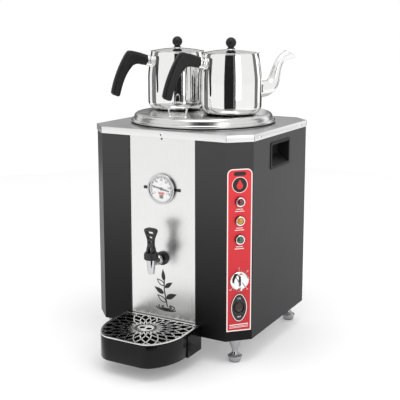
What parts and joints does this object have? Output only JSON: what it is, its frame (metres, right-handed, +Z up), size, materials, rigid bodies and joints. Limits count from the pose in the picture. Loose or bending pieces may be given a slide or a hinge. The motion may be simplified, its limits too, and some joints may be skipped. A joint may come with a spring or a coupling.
{
  "type": "hot water urn",
  "caption": "Electric hot water urn with a chamfered black cabinet, a lever tap, a drip tray, a dial thermometer and steel teapots kept warm on its tank lid",
  "frame": {"origin": "on the floor under the middle of the cabinet, in the plane of the four rubber foot pads", "axes": "+Z up, the tap looks towards -Y, +X to the right when seen from the front"},
  "size_m": [0.4026, 0.5468, 0.6951],
  "materials": {
    "paint_black": "satin black powder coat",
    "steel_brushed": "brushed stainless steel",
    "steel_polished": "polished stainless steel",
    "steel_plain": "mill finish sheet",
    "chrome": "bright chrome",
    "plastic_black": "glossy black moulding",
    "plastic_matte": "matte black moulding",
    "fascia_red": "glossy red enamel plate",
    "rubber_black": "black rubber",
    "silicone_red": "red silicone",
    "brass_plain": "machined brass",
    "jacket_wool": "mineral wool jacket",
    "dial_white": "white printed dial",
    "glass_clear": "clear glass",
    "needle_black": "matte black",
    "lens_red": "dark red lens",
    "lens_amber": "amber lens",
    "lens_green": "green lens"
  },
  "bodies": {
    "cabinet": {"base_pan": "steel_plain", "side_cover_left": "paint_black", "side_cover_right": "paint_black", "front_panel": "steel_brushed", "rear_panel": "paint_black", "top_plate": "steel_brushed", "grip_cup_left": "plastic_matte", "grip_cup_right": "plastic_matte", "corner_posts": "steel_plain", "feet": "chrome", "foot_pads": "rubber_black", "tank": "steel_polished", "lid_seal": "rubber_black", "insulation": "jacket_wool", "heating_element": "steel_plain", "element_flange": "brass_plain", "thermostat_body": "steel_plain", "safety_cutout": "plastic_matte", "terminal_block": "plastic_matte", "tap_body": "chrome", "tap_escutcheon": "plastic_black", "tap_collar": "plastic_black", "tap_spring": "steel_plain", "thermometer_case": "steel_plain", "thermometer_dial": "dial_white", "thermometer_bezel": "chrome", "thermometer_glass": "glass_clear", "thermometer_clip": "plastic_matte", "control_fascia": "fascia_red", "lamp_housings": "chrome", "lamp_lens_red": "lens_red", "lamp_lens_amber": "lens_amber", "lamp_lens_green": "lens_green", "switch_frame": "plastic_black", "cable_gland": "plastic_matte", "drain_pipe": "steel_plain", "drain_cap": "brass_plain", "tray_bracket": "plastic_black", "fasteners": "chrome"},
    "tap_stem": {"tap_stem": "steel_plain", "tap_seal": "silicone_red", "tap_pin": "steel_plain"},
    "tap_lever": {"tap_lever": "plastic_black"},
    "thermostat_knob": {"thermostat_knob": "chrome", "thermostat_spindle": "steel_plain"},
    "switch_rocker": {"switch_rocker": "plastic_black"},
    "thermometer_needle": {"thermometer_needle": "needle_black"},
    "drip_tray": {"drip_tray": "plastic_black"},
    "drip_grate": {"drip_grate": "steel_polished"},
    "tank_lid": {"tank_lid": "steel_polished", "lid_handle": "chrome"},
    "teapot_left": {"teapot_left": "steel_polished", "teapot_handle_left": "plastic_black"},
    "teapot_lid_left": {"teapot_lid_left": "steel_polished", "teapot_knob_left": "plastic_black"},
    "teapot_right": {"teapot_right": "steel_polished", "teapot_handle_right": "plastic_black"},
    "teapot_lid_right": {"teapot_lid_right": "steel_polished", "teapot_knob_right": "plastic_black"}
  },
  "joints": [
    {"name": "tap_stem_lift", "type": "slide", "parent": "cabinet", "child": "tap_stem", "axis": [0, 0, 1], "range_m": [0, 0.004], "stiffness_N_per_m": 12, "springref_m": -0.004, "deforming": ["tap_spring"]},
    {"name": "tap_lever_tip", "type": "hinge", "parent": "tap_stem", "child": "tap_lever", "pos_m": [0, -0.232, 0.25], "axis": [1, 0, 0], "range_deg": [0, 32]},
    {"name": "thermostat_turn", "type": "hinge", "parent": "cabinet", "child": "thermostat_knob", "pos_m": [0.17675, -0.16475, 0.189], "axis": [0.7071, -0.7071, 0], "range_deg": [-270, 0]},
    {"name": "switch_tip", "type": "hinge", "parent": "cabinet", "child": "switch_rocker", "pos_m": [0.1759, -0.1639, 0.1296], "axis": [0.7071, 0.7071, 0], "range_deg": [0, 16]},
    {"name": "needle_turn", "type": "hinge", "parent": "cabinet", "child": "thermometer_needle", "pos_m": [0, -0.1848, 0.374], "axis": [0, -1, 0], "range_deg": [-198, 42], "stiffness_Nm_per_rad": 0.002},
    {"name": "tray_slide", "type": "slide", "parent": "cabinet", "child": "drip_tray", "axis": [0, -1, 0], "range_m": [0, 0.165]},
    {"name": "grate_lift", "type": "slide", "parent": "drip_tray", "child": "drip_grate", "axis": [0, 0, 1], "range_m": [0, 0.04]},
    {"name": "tank_lid_lift", "type": "slide", "parent": "cabinet", "child": "tank_lid", "axis": [0, 0, 1], "range_m": [0, 0.12]},
    {"name": "teapot_left_lift", "type": "slide", "parent": "tank_lid", "child": "teapot_left", "axis": [0, 0, 1], "range_m": [0, 0.15]},
    {"name": "teapot_lid_left_lift", "type": "slide", "parent": "teapot_left", "child": "teapot_lid_left", "axis": [0, 0, 1], "range_m": [0, 0.06]},
    {"name": "teapot_right_lift", "type": "slide", "parent": "tank_lid", "child": "teapot_right", "axis": [0, 0, 1], "range_m": [0, 0.15]},
    {"name": "teapot_lid_right_lift", "type": "slide", "parent": "teapot_right", "child": "teapot_lid_right", "axis": [0, 0, 1], "range_m": [0, 0.06]}
  ],
  "couplings": [
    {"joint": "tap_stem_lift", "follows": "tap_lever_tip", "m_per_rad": 0.00716}
  ]
}
